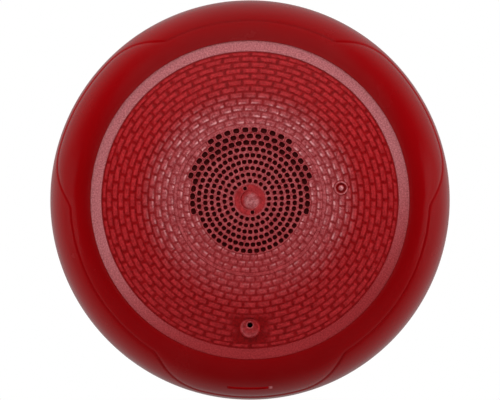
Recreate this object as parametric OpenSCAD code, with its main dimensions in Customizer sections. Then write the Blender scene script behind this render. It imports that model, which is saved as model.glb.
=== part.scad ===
// Wall-mounted alarm siren: a round head with a perforated dome, hooked at its top
// on a mounting plate and held at its bottom by one captive screw.
// Every module is drawn with x to the right, y up and z out of the wall, and
// on_wall() turns it into the part's frame: +Z up, the front facing -Y, and the
// origin at the centre of the mounting plate's back face.

/* [Head] */
// Outer diameter of the head
head_d = 172.7; // [150:0.1:200]
// Height of the flat ring around the dome, from the wall
ring_z = 44; // [38:0.5:50]
// Inner edge of the flat ring
ring_in_r = 64.1; // [60:0.1:66]
// Outer edge of the flat ring
ring_out_r = 68.7; // [66:0.1:70]
// Height of the bezel's lip above the flat ring
lip_h = 0.5; // [0:0.1:1]
// Gap between the wall and the head's skirt
skirt_gap = 3; // [1:0.5:5]
// Height where the bezel's curve runs into its straight skirt
skirt_z = 16; // [10:1:24]
// Wall thickness of the bezel and the grille
wall = 2.2; // [1.6:0.1:3]

/* [Dome] */
// Radius where the gentle crown of the dome ends
crown_r = 44; // [40:1:50]
// Slope at the end of the crown, in degrees
crown_slope = 11.2; // [8:0.1:14]
// Radius where the steep skirt of the dome begins
slope_r = 52; // [50:1:56]
// Slope of the dome's skirt, in degrees
skirt_slope = 27; // [20:0.5:35]
// Spacing of the rings of holes
hole_pitch = 2.75; // [2.5:0.05:3]
// Diameter of a hole in the full rings
hole_d = 1.8; // [1.2:0.1:2.1]
// Width of a hole in the outer, partial rings, from the centre outwards
arc_hole_w = 2.1; // [1.2:0.1:2.2]
// Length of a hole in the outer, partial rings, around the centre
arc_hole_l = 2.6; // [2.2:0.1:2.8]
// Centre of the loudspeaker above the head's axis
driver_y = 4.1; // [0:0.1:8]

/* [Mounting plate] */
// Radius of the mounting plate
plate_r = 71; // [66:1:74]
// Thickness of the mounting plate
plate_t = 3; // [2:0.5:4]
// Height of the screws' pitch in a gang box
gang_y = 83.3; // [80:0.1:90]
// Width of the screws' pitch in a two-gang box
gang_x = 46; // [44:0.1:48]
// Screw spacing of an octagonal box
octagon_pitch = 88.9; // [85:0.1:92]
// Diameter of a mounting hole
mount_hole_d = 4.4; // [4:0.1:5]
// Side of the square opening for the wires
wire_side = 50; // [40:1:56]

/* [Hinge] */
// Height of the hinge axis above the head's axis
hinge_y = 77; // [74:0.5:78]
// Distance of the hinge axis from the wall
hinge_z = 6.5; // [5:0.5:8]
// Distance of each hook from the middle of the head
hinge_x = 13; // [10:1:18]
// Radius of a hinge pin
pin_r = 1.5; // [1:0.1:2]

/* [Captive screw] */
// Distance of the captive screw below the head's axis
screw_y = 53.8; // [50:0.1:58]
// Outer radius of the screw's thread
screw_r = 1.75; // [1.5:0.05:2]

/* [Loudspeaker] */
// Radius of the loudspeaker's frame
driver_r = 33; // [28:0.5:36]
// Radius of the magnet
magnet_r = 22; // [16:0.5:24]
// Radius of the centre pole
pole_r = 9; // [6:0.5:10]
// Radius of the paper cone at its wide end
cone_r = 25; // [20:0.5:28]

/* [Choice] */
// Node to draw

/* [Hidden] */

eps = 0.01;
fine = 128;
head_r = head_d / 2;
bezel_top_z = ring_z + lip_h;

// Heights out of the wall
plate_boss_z = 11.9;
shell_back_z = 12;
shell_floor_t = 1.8;
shell_floor_z = shell_back_z + shell_floor_t;
shell_flange_z = 18;
shell_flange_t = 2;
post_end_z = shell_flange_z + shell_flange_t;
board_z = 15.4;
board_t = 1.6;
board_top_z = board_z + board_t;
ledge_t = 2.3;
ledge_z = ring_z - wall - ledge_t;
baffle_t = 2.2;
baffle_z = ledge_z - baffle_t;

// Heights of the loudspeaker's pieces
gasket_t = 1;
flange_z = ledge_z + gasket_t;
flange_t = 1.5;
frame_seat_z = 32;
top_plate_t = 3;
top_plate_z = frame_seat_z - top_plate_t;
magnet_t = 7.5;
magnet_z = top_plate_z - magnet_t;
yoke_t = 3;
yoke_z = magnet_z - yoke_t;
former_z = 24.5;
former_top_z = 36;
coil_z = 27;
coil_h = 7;
spider_z = 34.6;
surround_z = flange_z + flange_t;

// Pilot holes and bores for the self-tapping screws
pilot_r = 1.2;
screw_bore_r = 1.5;

// The mounting plate: its opening, its stiffening rim and its hinge lugs
wire_corner_r = 6;
rim_z = 8;
rim_r = plate_r - 0.8;
rim_t = 2;
rim_gap_x = 52;
rim_gap_y = plate_r - 12;
tab_foot_y = plate_r - 10;
tab_y = 79;
lug_gap = 4.5;
lug_t = 2.4;
lug_r = 3.3;
pin_half = lug_gap + lug_t;
tab_half = hinge_x + pin_half;
hook_half = 4.2;
hook_r = lug_r - 0.1;
hook_arm_y = -2.6;
hook_arm_t = 3.6;
hook_slot_r = pin_r + 0.08;

// The threaded insert in the plate's boss
plate_boss_r = 6;
insert_r = 3;
insert_z = 4.5;
groove_z = 2.8;
groove_h = 1.4;
groove_depth = 0.5;
thread_play = 0.2;

// Terminals
terminal_pitch = 9;
terminal_xs = [for (i = [-1.5:1:1.5]) i * terminal_pitch];
block_y = 58;
block_size = [40, 16, 8];
cell_w = 7.4;
strip_z = 6;
strip_size = [6.4, 15, 1];
clamp_size = [6.2, 6.2, 1];
terminal_screw_y = 62;
terminal_screw_r = 1.5;
terminal_bore_r = 1.6;
blade_y = 54;
blade_w = 3;

// Radii inside the head
shell_r = 69;
shell_wall_t = 1.8;
shell_in_r = shell_r - shell_wall_t;
flange_r = 80;
post_circle_r = 76;
post_r = 3.5;
post_pilot_h = 9;
ledge_in_r = 64.6;
baffle_r = 66.4;
grille_post_circle_r = 60.5;
grille_post_r = 3;
grille_post_h = 5;
grille_pilot_h = 3.6;
grille_post_angles = [30, 90, 150, 210, 270, 330];
shell_post_angles = [45, 135, 225, 315];
head_bore_r = 3.6;
floor_bore_r = 2.1;
tube_r = 5.2;
shell_window = [37, 7];
window_play = 0.6;

// The slot in the bezel's lower edge, with a small tab left standing in it
edge_slot_at = [0, -81.4, 35.8];
edge_slot_tilt = 59;
edge_slot_size = [19, 2.3, 0.8];
edge_tab_x = 8.5;
edge_tab_w = 1.6;

// The dome's outline: a crown of one radius, a blend and a straight skirt
crown_R = crown_r / sin(crown_slope);
blend_R = (slope_r - crown_r) / (sin(skirt_slope) - sin(crown_slope));
skirt_drop = (ring_in_r - slope_r) * tan(skirt_slope);
blend_drop = blend_R * (cos(crown_slope) - cos(skirt_slope));
crown_drop = crown_R * (1 - cos(crown_slope));
crown_end_z = ring_z + skirt_drop + blend_drop;
dome_top_z = crown_end_z + crown_drop;
crown_at = [0, dome_top_z - crown_R];
blend_at = [crown_r - blend_R * sin(crown_slope), crown_end_z - blend_R * cos(crown_slope)];
rim_edge_r = ring_out_r - 0.1;
rim_in_r = ring_in_r - 0.9;

// Full rings of holes: [ring number, holes, angle of the first hole]; partial
// rings around the top: [ring number, holes]; and two holes beside the button
perforated_r = 34;
full_rings = [[3, 21, 0], [4, 28, 9], [5, 35, 4.6], [6, 42, 0], [7, 48, 3.75], [8, 48, 0]];
arc_rings = [[9, 28], [10, 19], [11, 10]];
arc_step = 7.5;
button_holes = [[5.37, 336.6], [5.37, 169.3]];
button_r = 3;
button_h = 0.35;

// The screw tower and the moulding mark in the dome
tower_y = -screw_y - 1.2;
tower_r = 4.6;
tower_top_z = 49.6;
access_r = 1.2;
mark_circle_r = 39.5;
mark_angle = 82.5;
mark_floor_z = 53;
mark_r = 2.2;
mark_nub_r = 1.1;

// Cloth behind the holes
cloth_play = 0.05;
cloth_t = 0.3;

// Circuit board and what stands on it
board_r = 62;
board_cut_y = -44;
board_post_at = [[52, 24], [48, -32], [-48, -32], [-52, 24]];
board_post_r = 3;
transformer_at = [-36, -20];
core_size = [26, 12, 14];
core_leg = 8;
core_yoke = 3;
core_window = [5, 8];
coil_w = core_leg + 2 * core_window[0];
bobbin_t = 0.7;
bobbin_reach = 9;
bobbin_play = 0.1;
capacitor_at = [38, -22];
capacitor_r = 5;
capacitor_h = 14;
resistor_at = [-52, -8];
resistor_pitch = 6;
resistor_r = 1.3;
resistor_l = 8;

// Selectors
selector_xs = [-17, 17];
selector_y = -24;
selector_side = 11;
selector_face_z = 11.2;
rotor_face_z = 10.6;
rotor_end_z = 13.9;
rotor_r = 4.2;
rotor_play = 0.05;
spindle_r = 1.2;
spindle_h = 1.3;
rotor_slot = [1, 6.4];
rotor_slot_depth = 1.2;
rotor_dot_r = 0.9;

// Ears, tags and leads of the loudspeaker
ear_angles = [45, 135, 225, 315];
ear_circle_r = 34.5;
ear_r = 4;
ear_bore_r = 1.6;
ear_pilot_r = 1.4;
flange_in_r = 28.4;
basket_out_r = 30.4;
basket_seat_r = 21.5;
basket_hole_r = 11.5;
spider_ledge_r = [21.4, 19.5];
window_at = [26, 0, 35.6];
window_size = [16, 18, 3.6];
tag_y = -29.6;
tag_z = 33.4;
tag_xs = [-4, 4];
tag_size = [1.6, 0.6, 3];
lead_r = 0.65;
lead_bow = 2.2;
lead_steps = 14;
lead_sides = 8;
lead_top_z = tag_z - 0.1;
coil_in_r = 9.9;
coil_gap = 0.55;
cap_top_z = 39.9;
cap_R = 25.4;
cap_t = 0.4;
cap_half_angle = 26;

// The captive screw
washer_t = 0.8;
washer_r = 3.2;
washer_play = 0.08;
screw_end_z = 6.5;
screw_seat_z = shell_floor_z + washer_t;
screw_head_r = 3.1;
screw_head_h = 2.8;
recess_size = [3.8, 0.8, 3];

function polar(r, a) = [r * sin(a), r * cos(a)];
function arc_points(centre, R, a0, a1, n) = [for (i = [0:n]) centre + polar(R, a0 + (a1 - a0) * i / n)];
function reversed(points) = [for (i = [len(points) - 1:-1:0]) points[i]];

// The bezel's outline: a quarter of an ellipse between the ring and the skirt
function bezel_line(depth, steps) = [for (i = [0:steps]) let (a = 90 * i / steps)
    [ring_out_r + (head_r - ring_out_r - depth) * sin(a),
     skirt_z + (bezel_top_z - skirt_z - depth) * cos(a)]];

module on_wall() { rotate([90, 0, 0]) children(); }
module at(p, z = 0) { translate([p[0], p[1], z]) children(); }
module across(x) { translate([x, 0, 0]) rotate([0, 90, 0]) children(); }
module rod(r, h) { cylinder(r = r, h = h, $fn = 48); }
module fine_rod(r, h) { cylinder(r = r, h = h, $fn = fine); }
module disc(r) { circle(r = r, $fn = 48); }
module fine_disc(r) { circle(r = r, $fn = fine); }
module block(size) { translate([-size[0] / 2, -size[1] / 2, 0]) cube(size); }
module turned(points) { rotate_extrude($fn = fine) polygon(points); }
module tube(r_out, r_in, h) {
    difference() {
        fine_rod(r_out, h);
        translate([0, 0, -eps]) fine_rod(r_in, h + 2 * eps);
    }
}

// A square with round corners
module rounded_square(side, r) {
    for (sx = [-1, 1], sy = [-1, 1])
        translate([sx * (side / 2 - r), sy * (side / 2 - r)]) disc(r);
    square([side, side - 2 * r], center = true);
    square([side - 2 * r, side], center = true);
}

// Two crossed slots, the recess in the head of a screw
module cross_recess(size) {
    for (a = [0, 90]) rotate([0, 0, a]) block(size);
}

// A screw with a flat pan head and a cross recess, its head seated at seat_z
module pan_screw(r, length, head_radius, head_h, seat_z) {
    slot_w = 0.7;
    overlap = 0.2;
    translate([0, 0, seat_z]) difference() {
        union() {
            translate([0, 0, -length]) rod(r, length + overlap);
            rod(head_radius, head_h);
        }
        translate([0, 0, head_h * 0.45]) cross_recess([head_radius * 1.3, slot_w, head_h]);
    }
}

// ---- Mounting plate and what stays on the wall ----

module plate_outline() {
    difference() {
        union() {
            fine_disc(plate_r);
            translate([-tab_half, tab_foot_y]) square([2 * tab_half, tab_y - tab_foot_y]);
        }
        rounded_square(wire_side, wire_corner_r);
        for (sx = [-1, 0, 1], sy = [-1, 1])
            translate([sx * gang_x / 2, sy * gang_y / 2]) disc(mount_hole_d / 2);
        for (s = [-1, 1]) translate([s * octagon_pitch / 2, 0]) disc(mount_hole_d / 2);
    }
}

module plate_rim() {
    difference() {
        tube(rim_r, rim_r - rim_t, rim_z);
        translate([-rim_gap_x / 2, rim_gap_y, -1]) cube([rim_gap_x, plate_r - rim_gap_y + 1, rim_z + 2]);
    }
}

module hinge_lug() {
    translate([0, hinge_y, hinge_z]) across(0) rod(lug_r, lug_t);
    translate([0, hinge_y - lug_r, 0]) cube([lug_t, tab_y - hinge_y + lug_r, hinge_z]);
}

module mounting_plate() {
    color("ivory") on_wall() difference() {
        union() {
            linear_extrude(plate_t) plate_outline();
            plate_rim();
            for (s = [-1, 1], x = [-pin_half, lug_gap]) translate([s * hinge_x + x, 0, 0]) hinge_lug();
            translate([0, -screw_y, 0]) rod(plate_boss_r, plate_boss_z);
        }
        for (s = [-1, 1]) translate([s * hinge_x, hinge_y, hinge_z])
            across(-pin_half - eps) rod(pin_r, 2 * pin_half + 2 * eps);
        translate([0, -screw_y, insert_z]) rod(insert_r, plate_boss_z);
    }
}

module hinge_pins() {
    color("silver") on_wall() for (s = [-1, 1])
        translate([s * hinge_x, hinge_y, hinge_z]) across(-pin_half) rod(pin_r, 2 * pin_half);
}

module threaded_insert() {
    height = plate_boss_z - insert_z;
    color("goldenrod") on_wall() translate([0, -screw_y, insert_z]) difference() {
        rod(insert_r, height);
        translate([0, 0, groove_z]) tube(insert_r + 1, insert_r - groove_depth, groove_h);
        translate([0, 0, -eps]) rod(screw_r + thread_play, height + 1);
    }
}

module terminal_block() {
    color("darkolivegreen") on_wall() translate([0, block_y, plate_t]) difference() {
        block(block_size);
        for (x = terminal_xs) translate([x, 0, 0]) {
            translate([0, 0, strip_z - plate_t]) block([cell_w, block_size[1] + 1, block_size[2]]);
            translate([0, terminal_screw_y - block_y, -eps]) rod(terminal_bore_r, block_size[2]);
        }
    }
}

module terminal_contacts() {
    color("goldenrod") on_wall() for (x = terminal_xs) translate([x, block_y, strip_z]) difference() {
        block(strip_size);
        translate([0, terminal_screw_y - block_y, -eps]) rod(terminal_bore_r, strip_size[2] + 1);
    }
}

module terminal_clamps() {
    color("silver") on_wall() for (x = terminal_xs)
        translate([x, terminal_screw_y, strip_z + strip_size[2]]) difference() {
            block(clamp_size);
            translate([0, 0, -eps]) rod(terminal_bore_r, clamp_size[2] + 1);
        }
}

module terminal_screws() {
    seat_z = strip_z + strip_size[2] + clamp_size[2];
    head_radius = 2.7;
    head_h = 1.9;
    color("silver") on_wall() for (x = terminal_xs) translate([x, terminal_screw_y, 0])
        pan_screw(terminal_screw_r, seat_z - plate_t - 0.1, head_radius, head_h, seat_z);
}

// ---- Housing of the head ----

// The four posts inside the bezel, cut off by its middle surface
module bezel_posts() {
    depth = wall / 2;
    steps = 10;
    intersection() {
        for (a = shell_post_angles) at(polar(post_circle_r, a), post_end_z)
            rod(post_r, bezel_top_z - post_end_z);
        turned(concat([[0, 0], [head_r - depth, 0]], reversed(bezel_line(depth, steps)),
                      [[0, bezel_top_z - depth]]));
    }
}

// The tool that cuts the slot in the lower edge
module edge_slot() {
    reach = 4;
    translate(edge_slot_at) rotate([edge_slot_tilt, 0, 0]) translate([0, 0, -edge_slot_size[2]]) difference() {
        block([edge_slot_size[0], edge_slot_size[1], reach]);
        translate([edge_tab_x, 0, -1]) block([edge_tab_w, edge_slot_size[1] + 1, 2]);
    }
}

module bezel() {
    outer_steps = 14;
    inner_steps = 10;
    inner_line = bezel_line(wall, inner_steps);
    color("firebrick") on_wall() difference() {
        union() {
            turned(concat([[ledge_in_r, ledge_z], [ledge_in_r, ledge_z + ledge_t],
                           [ring_out_r, ledge_z + ledge_t]],
                          bezel_line(0, outer_steps),
                          [[head_r, skirt_gap], [head_r - wall, skirt_gap]],
                          [for (i = [inner_steps:-1:1]) inner_line[i]],
                          [[ring_out_r + wall, ledge_z]]));
            bezel_posts();
        }
        for (a = shell_post_angles) at(polar(post_circle_r, a), post_end_z - eps) rod(pilot_r, post_pilot_h);
        edge_slot();
    }
}

module grille() {
    color("indianred") on_wall() difference() {
        union() {
            dome_rim();
            crown();
            translate([0, 0, dome_top_z - wall]) rod(button_r, wall + button_h);
            for (a = grille_post_angles) at(polar(grille_post_circle_r, a), ledge_z)
                rod(grille_post_r, grille_post_h);
            translate([0, tower_y, ledge_z]) rod(tower_r, tower_top_z - ledge_z);
        }
        for (a = grille_post_angles) at(polar(grille_post_circle_r, a), ledge_z - eps)
            rod(pilot_r, grille_pilot_h);
        translate([0, -screw_y, ledge_z - 1]) rod(access_r, dome_top_z - ledge_z);
        at(polar(mark_circle_r, mark_angle), mark_floor_z) tube(mark_r, mark_nub_r, dome_top_z - mark_floor_z);
    }
}

// The unperforated part of the dome and the flat ring around it
module dome_rim() {
    start = asin(perforated_r / crown_R);
    foot = [ring_in_r, ring_z];
    turned(concat(
        arc_points(crown_at, crown_R, start, crown_slope, 2),
        arc_points(blend_at, blend_R, crown_slope, skirt_slope, 3),
        [foot, [rim_edge_r, ring_z], [rim_edge_r, ring_z - wall],
         [rim_in_r, ring_z - wall], foot - polar(wall, skirt_slope)],
        arc_points(blend_at, blend_R - wall, skirt_slope, crown_slope, 3),
        arc_points(crown_at, crown_R - wall, crown_slope, start, 2)));
}

// The perforated crown, a thin shell between two spheres
module crown() {
    intersection() {
        translate([0, 0, ring_z]) linear_extrude(dome_top_z - ring_z + 1) difference() {
            fine_disc(perforated_r);
            perforations();
        }
        crown_shell(0, wall);
    }
}

module crown_shell(depth, thickness) {
    translate([0, 0, dome_top_z - crown_R]) difference() {
        sphere(r = crown_R - depth, $fn = fine);
        sphere(r = crown_R - depth - thickness, $fn = fine);
    }
}

module hole() { circle(d = hole_d, $fn = 24); }

// A hole of the partial rings, longer around the dome than across it
module arc_hole() {
    half = (arc_hole_l - arc_hole_w) / 2;
    for (s = [-1, 1]) translate([s * half, 0]) circle(d = arc_hole_w, $fn = 24);
    square([2 * half, arc_hole_w], center = true);
}

module perforations() {
    for (ring = full_rings, i = [0:ring[1] - 1])
        translate(polar(hole_pitch * ring[0], ring[2] + 360 * i / ring[1])) hole();
    for (ring = arc_rings, i = [0:ring[1] - 1]) let (a = (i - (ring[1] - 1) / 2) * arc_step)
        translate(polar(hole_pitch * ring[0], a)) rotate(-a) arc_hole();
    for (spot = button_holes) translate(polar(spot[0], spot[1])) hole();
}

module dust_screen() {
    color("dimgray") on_wall() intersection() {
        translate([0, 0, ring_z]) rod(perforated_r - 1, dome_top_z - ring_z);
        crown_shell(wall + cloth_play, cloth_t);
    }
}

module baffle() {
    color("dimgray") on_wall() translate([0, 0, baffle_z]) linear_extrude(baffle_t) difference() {
        fine_disc(baffle_r);
        translate([0, driver_y]) fine_disc(driver_r - 2);
        for (a = ear_angles) translate([0, driver_y] + polar(ear_circle_r, a)) disc(ear_pilot_r);
        for (a = grille_post_angles) translate(polar(grille_post_circle_r, a)) disc(screw_bore_r);
        translate([0, -screw_y]) disc(2);
    }
}

module baffle_screws() {
    color("silver") on_wall() for (a = grille_post_angles)
        at(polar(grille_post_circle_r, a), baffle_z) mirror([0, 0, 1]) pan_screw(pilot_r, 5, 2.6, 1.7, 0);
}

module rear_shell() {
    color("whitesmoke") on_wall() difference() {
        union() {
            translate([0, 0, shell_back_z]) fine_rod(shell_r, shell_floor_t);
            translate([0, 0, shell_back_z]) tube(shell_r, shell_in_r, post_end_z - shell_back_z);
            translate([0, 0, shell_flange_z]) tube(flange_r, shell_in_r, shell_flange_t);
            translate([0, -screw_y, shell_back_z]) rod(tube_r, baffle_z - 0.1 - shell_back_z);
            for (p = board_post_at) at(p, shell_back_z) rod(board_post_r, board_z - shell_back_z);
            for (s = [-1, 1]) translate([s * hinge_x, hinge_y, 0]) hook();
        }
        translate([0, -screw_y, shell_floor_z]) rod(head_bore_r, baffle_z - shell_floor_z);
        translate([0, -screw_y, shell_back_z - 1]) rod(floor_bore_r, shell_floor_t + 2);
        for (p = board_post_at) at(p, shell_back_z + 0.6) rod(pilot_r, board_z - shell_back_z);
        for (a = shell_post_angles) at(polar(post_circle_r, a), shell_flange_z - 1)
            rod(screw_bore_r, shell_flange_t + 2);
        translate([0, blade_y, shell_back_z - 1]) block([shell_window[0], shell_window[1], shell_floor_t + 2]);
        for (x = selector_xs) translate([x, selector_y, shell_back_z - 1])
            block([selector_side + window_play, selector_side + window_play, shell_floor_t + 2]);
    }
}

// A hook that drops over a hinge pin: an eye open downwards, on an arm
module hook() {
    difference() {
        union() {
            translate([0, 0, hinge_z]) across(-hook_half) rod(hook_r, 2 * hook_half);
            translate([-hook_half, hook_arm_y, hinge_z])
                cube([2 * hook_half, hook_arm_t, shell_flange_z + 1 - hinge_z]);
        }
        translate([0, 0, hinge_z]) across(-hook_half - 1) rod(hook_slot_r, 2 * hook_half + 2);
        translate([-hook_half - 1, -5, hinge_z - hook_slot_r]) cube([2 * hook_half + 2, 5, 2 * hook_slot_r]);
    }
}

module shell_screws() {
    color("silver") on_wall() for (a = shell_post_angles)
        at(polar(post_circle_r, a), shell_flange_z) mirror([0, 0, 1]) pan_screw(pilot_r, 9, 2.7, 1.9, 0);
}

// ---- Electronics ----

module circuit_board() {
    cut = 80;
    color("darkgreen") on_wall() translate([0, 0, board_z]) linear_extrude(board_t) difference() {
        fine_disc(board_r);
        translate([-cut, board_cut_y - cut]) square([2 * cut, cut]);
        for (p = board_post_at) translate(p) disc(screw_bore_r - 0.1);
    }
}

module board_screws() {
    color("silver") on_wall() for (p = board_post_at)
        at(p) pan_screw(pilot_r, 4, 2.4, 1.6, board_top_z);
}

module transformer_core() {
    color("slategray") on_wall() at(transformer_at, board_top_z) difference() {
        block(core_size);
        for (s = [-1, 1]) translate([s * (core_leg + core_window[0]) / 2, 0, core_yoke])
            block([core_window[0], core_size[1] + 1, core_window[1]]);
    }
}

module transformer_bobbin() {
    leg = [core_leg + 2 * bobbin_play, core_size[1] + 2 * bobbin_play, core_size[2]];
    color("ivory") on_wall() at(transformer_at, board_top_z + core_yoke + bobbin_play) difference() {
        for (z = [0, core_window[1] - bobbin_t - 2 * bobbin_play]) translate([0, 0, z])
            block([coil_w - 2 * bobbin_play, core_size[1] + bobbin_reach, bobbin_t]);
        translate([0, 0, -1]) block(leg);
    }
}

module transformer_winding() {
    inset = 0.6;
    leg = [core_leg + 4 * bobbin_play, core_size[1] + 4 * bobbin_play, core_size[2]];
    base = core_yoke + bobbin_t + 2 * bobbin_play;
    color("peru") on_wall() at(transformer_at, board_top_z + base) difference() {
        block([coil_w - inset, core_size[1] + bobbin_reach - inset, core_window[1] - 2 * (base - core_yoke)]);
        translate([0, 0, -1]) block(leg);
    }
}

module line_capacitor() {
    rim = 0.6;
    color("navy") on_wall() at(capacitor_at, board_top_z) difference() {
        rod(capacitor_r, capacitor_h);
        translate([0, 0, capacitor_h - rim]) tube(capacitor_r + 1, capacitor_r - 0.4, 1);
    }
}

module board_resistors() {
    color("tan") on_wall() for (i = [0:3])
        translate([resistor_at[0], resistor_at[1] + resistor_pitch * i, board_top_z + resistor_r])
            across(0) rod(resistor_r, resistor_l);
}

// Four formed springs that touch the terminal strips when the head is closed
module contact_blades() {
    outline = [[4, 15.35], [0.8, 15.35], [-2.8, 8.4], [-1.6, 7.05], [-0.2, 7.05], [0.8, 8.0],
               [0.4, 8.3], [-0.5, 7.6], [-1.4, 7.6], [-2.1, 8.5], [1.2, 14.9], [4, 14.9]];
    color("goldenrod") on_wall() for (x = terminal_xs) translate([x - blade_w / 2, blade_y, 0])
        rotate([90, 0, 90]) linear_extrude(blade_w) polygon(outline);
}

module switch_body(x) {
    translate([x, selector_y, 0]) difference() {
        translate([0, 0, selector_face_z]) block([selector_side, selector_side, board_z - selector_face_z]);
        translate([0, 0, selector_face_z - 1])
            rod(rotor_r + rotor_play, rotor_end_z + 2 * rotor_play - selector_face_z + 1);
        translate([0, 0, rotor_end_z]) rod(spindle_r + rotor_play, board_z - rotor_end_z + 1);
    }
}

module switch_rotor(x) {
    overlap = 0.5;
    translate([x, selector_y, 0]) difference() {
        union() {
            translate([0, 0, rotor_face_z]) rod(rotor_r, rotor_end_z - rotor_face_z);
            translate([0, 0, rotor_end_z - overlap]) rod(spindle_r, spindle_h + overlap);
        }
        translate([0, 0, rotor_face_z - 1]) {
            block([rotor_slot[0], rotor_slot[1], rotor_slot_depth + 1]);
            translate([0, rotor_slot[1] / 2, 0]) rod(rotor_dot_r, rotor_slot_depth + 1);
        }
    }
}

module tap_switch() { color("black") on_wall() switch_body(selector_xs[0]); }
module tap_rotor() { color("white") on_wall() switch_rotor(selector_xs[0]); }
module voltage_switch() { color("black") on_wall() switch_body(selector_xs[1]); }
module voltage_rotor() { color("white") on_wall() switch_rotor(selector_xs[1]); }

// ---- Loudspeaker, drawn about its own axis ----

module on_driver() { on_wall() translate([0, driver_y, 0]) children(); }

module flange_outline(inner) {
    difference() {
        union() {
            fine_disc(driver_r);
            for (a = ear_angles) translate(polar(ear_circle_r, a)) disc(ear_r);
        }
        fine_disc(inner);
        for (a = ear_angles) translate(polar(ear_circle_r, a)) disc(ear_bore_r);
    }
}

module speaker_gasket() {
    color("darkslategray") on_driver() translate([0, 0, ledge_z]) linear_extrude(gasket_t)
        flange_outline(driver_r - 2);
}

module speaker_frame() {
    sheet = 1.2;
    color("gray") on_driver() difference() {
        union() {
            translate([0, 0, flange_z]) linear_extrude(flange_t) flange_outline(flange_in_r);
            turned([[basket_hole_r, frame_seat_z], [basket_seat_r, frame_seat_z],
                    [basket_out_r - 0.8, flange_z + 0.2], [basket_out_r, flange_z + 0.2],
                    [basket_out_r, surround_z], [flange_in_r, surround_z], [flange_in_r, flange_z],
                    [basket_seat_r - 0.9, frame_seat_z + sheet], [basket_hole_r, frame_seat_z + sheet]]);
            translate([0, 0, frame_seat_z])
                tube(spider_ledge_r[0], spider_ledge_r[1], spider_z - 0.1 - frame_seat_z);
        }
        for (a = [0:90:270]) rotate([0, 0, a]) translate(window_at) block(window_size);
    }
}

module speaker_screws() {
    color("silver") on_driver() for (a = ear_angles)
        at(polar(ear_circle_r, a)) pan_screw(ear_pilot_r, 5, 2.8, 1.7, surround_z);
}

module yoke() {
    vent_r = 2.5;
    color("silver") on_driver() translate([0, 0, yoke_z]) difference() {
        union() {
            fine_rod(magnet_r - 2, yoke_t);
            fine_rod(pole_r, frame_seat_z - yoke_z);
        }
        translate([0, 0, -1]) rod(vent_r, frame_seat_z - yoke_z + 2);
    }
}

module magnet() {
    color("dimgray") on_driver() translate([0, 0, magnet_z]) tube(magnet_r, pole_r + 3.5, magnet_t);
}

module top_plate() {
    color("silver") on_driver() translate([0, 0, top_plate_z]) tube(magnet_r - 2, pole_r + 1.7, top_plate_t);
}

module tag_strip() {
    strip = [12, 4.4, 1.2];
    color("saddlebrown") on_driver() union() {
        translate([0, tag_y + 0.8, window_at[2]]) block(strip);
        for (x = tag_xs) translate([x, tag_y, tag_z]) block(tag_size);
    }
}

// One lead: a tube that bows outwards between the board and its tag
module lead(x) {
    length = lead_top_z - board_top_z;
    sides = [0:lead_sides - 1];
    rings = [for (i = [0:lead_steps]) let (t = i / lead_steps, bow = (1 - cos(360 * t)) / 2,
                                           tilt = atan(lead_bow * PI * sin(360 * t) / length))
        [for (k = sides) let (a = 360 * k / lead_sides, out = lead_r * cos(a))
            [x + lead_r * sin(a),
             tag_y - lead_bow * bow - out * cos(tilt),
             board_top_z + length * t - out * sin(tilt)]]];
    polyhedron(
        points = [for (ring = rings) for (p = ring) p],
        faces = concat(
            [[for (k = sides) k]],
            [[for (k = [lead_sides - 1:-1:0]) lead_steps * lead_sides + k]],
            [for (i = [0:lead_steps - 1], k = sides)
                [i * lead_sides + k, (i + 1) * lead_sides + k,
                 (i + 1) * lead_sides + (k + 1) % lead_sides, i * lead_sides + (k + 1) % lead_sides]]));
}

module speaker_leads() {
    color("firebrick") on_driver() for (x = tag_xs) lead(x);
}

// A corrugated cloth ring that centres the voice coil
module spider() {
    steps = 20;
    reach = 10.8;
    ripple = 0.3;
    cloth = 0.35;
    line = [for (i = [0:steps]) [coil_in_r + reach * i / steps, spider_z + ripple * (1 - cos(i * 90)) / 2]];
    color("khaki") on_driver() turned(concat([for (p = line) p + [0, cloth]], reversed(line)));
}

// A half roll between the cone and the frame
module surround() {
    roll_r = 26.75;
    roll_half = 1.7;
    rubber = 0.4;
    roll_at = [roll_r, surround_z + rubber];
    color("black") on_driver() turned(concat(
        [[31, surround_z], [31, surround_z + rubber]],
        arc_points(roll_at, roll_half, 90, -90, 8),
        arc_points(roll_at, roll_half - rubber, -90, 90, 8),
        [[28.1, surround_z]]));
}

module cone() {
    color("black") on_driver() turned([[coil_in_r, former_top_z - 0.4], [cone_r, surround_z - 0.2],
                                      [cone_r, surround_z + 0.4], [coil_in_r, former_top_z + 0.2]]);
}

module voice_coil() {
    color("peru") on_driver() union() {
        translate([0, 0, former_z]) tube(pole_r + 0.85, pole_r + coil_gap, former_top_z - former_z);
        translate([0, 0, coil_z]) tube(pole_r + 1.3, pole_r + 0.7, coil_h);
    }
}

module dust_cap() {
    centre = [0, cap_top_z - cap_R];
    color("dimgray") on_driver() turned(concat(
        arc_points(centre, cap_R, 0, cap_half_angle, 6),
        arc_points(centre, cap_R - cap_t, cap_half_angle, 0, 6)));
}

// ---- Captive screw ----

module screw_washer() {
    color("silver") on_wall() translate([0, -screw_y, shell_floor_z])
        tube(washer_r, screw_r + washer_play, washer_t);
}

module captive_screw() {
    overlap = 0.2;
    color("silver") on_wall() translate([0, -screw_y, 0]) difference() {
        union() {
            translate([0, 0, screw_end_z]) rod(screw_r, screw_seat_z - screw_end_z + overlap);
            translate([0, 0, screw_seat_z]) rod(screw_head_r, screw_head_h);
        }
        translate([0, 0, screw_seat_z + 1]) cross_recess(recess_size);
    }
}

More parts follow.
